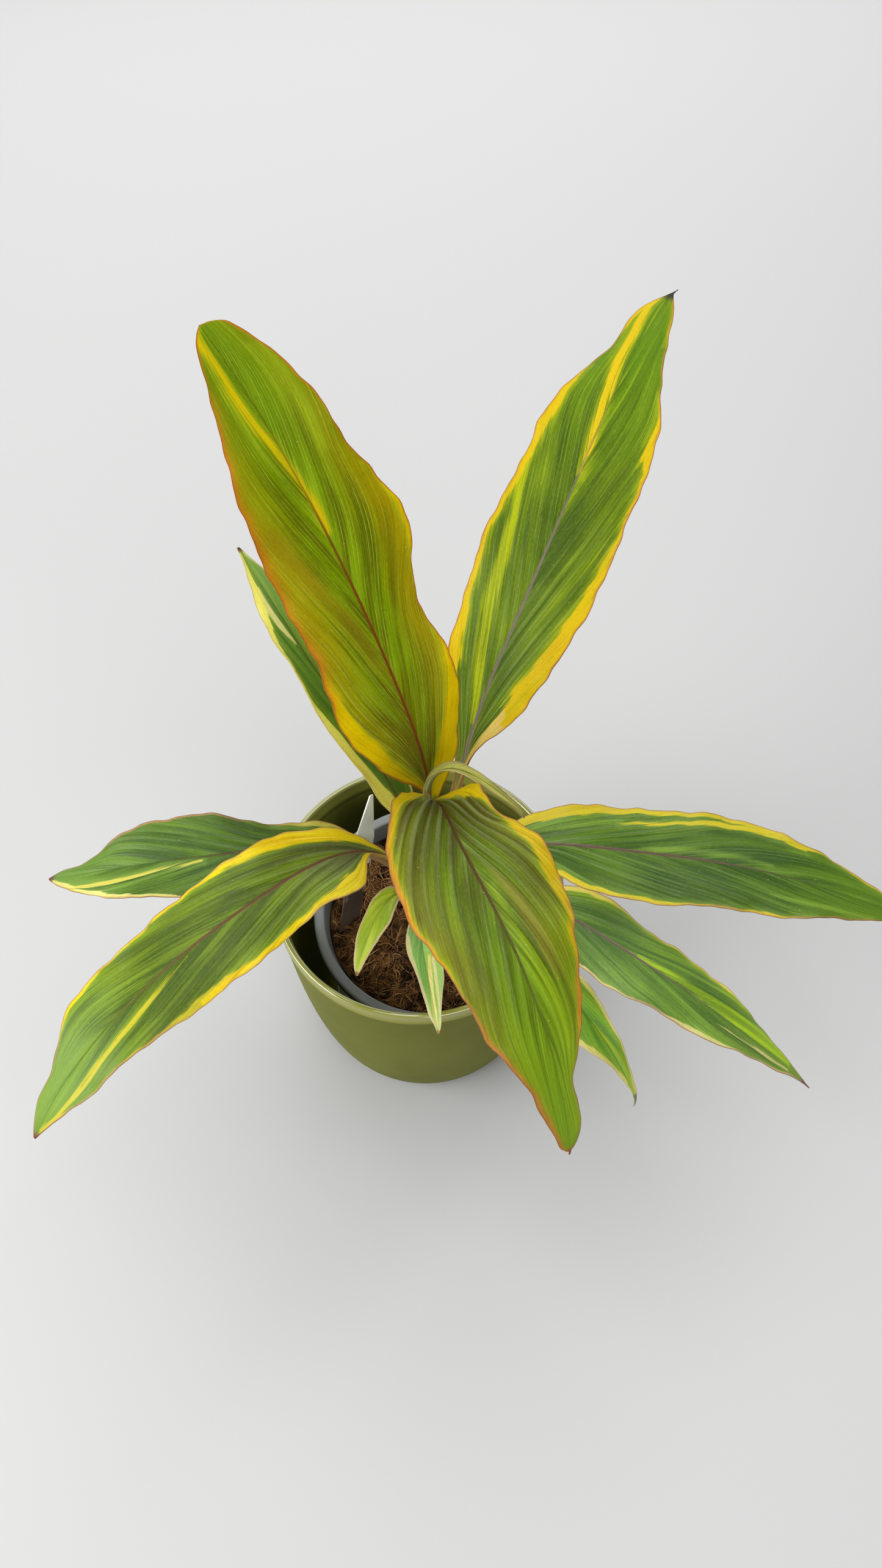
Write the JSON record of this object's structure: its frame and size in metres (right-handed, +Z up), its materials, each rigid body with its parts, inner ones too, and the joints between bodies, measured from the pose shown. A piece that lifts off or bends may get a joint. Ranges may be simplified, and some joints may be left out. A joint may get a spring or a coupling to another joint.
{
  "type": "potted cordyline",
  "caption": "Young potted cordyline with broad yellow-striped green leaves on channelled stalks, in a grey nursery pot set in a round olive glazed cachepot, with a blank plant label.",
  "frame": {"origin": "centre of the cachepot's flat underside", "axes": "+Z up, -Y towards the viewer of the picture, +X to the right"},
  "size_m": [0.3834, 0.3197, 0.4148],
  "materials": {
    "olive_glaze": "glossy olive green glaze",
    "grey_plastic": "thin moulded plastic, satin",
    "coir_soil": "dark brown potting soil with coconut fibres",
    "cane": "young woody cane with leaf scars",
    "label_plastic": "pale grey plastic, blank",
    "variegated_leaf": "soft glossy leaf, green with yellow stripes and margins"
  },
  "bodies": {
    "root": {"cachepot": "olive_glaze", "nursery_pot": "grey_plastic", "soil": "coir_soil", "stem": "cane", "plant_label": "label_plastic", "leaf_upper_left": "variegated_leaf", "leaf_upper_right": "variegated_leaf", "leaf_back_narrow": "variegated_leaf", "leaf_left_low": "variegated_leaf", "leaf_left_front": "variegated_leaf", "leaf_front": "variegated_leaf", "leaf_right": "variegated_leaf", "leaf_right_front": "variegated_leaf", "leaf_right_small": "variegated_leaf", "leaf_basal_left": "variegated_leaf", "leaf_basal_front": "variegated_leaf", "leaf_young_rolled": "variegated_leaf"}
  },
  "joints": []
}
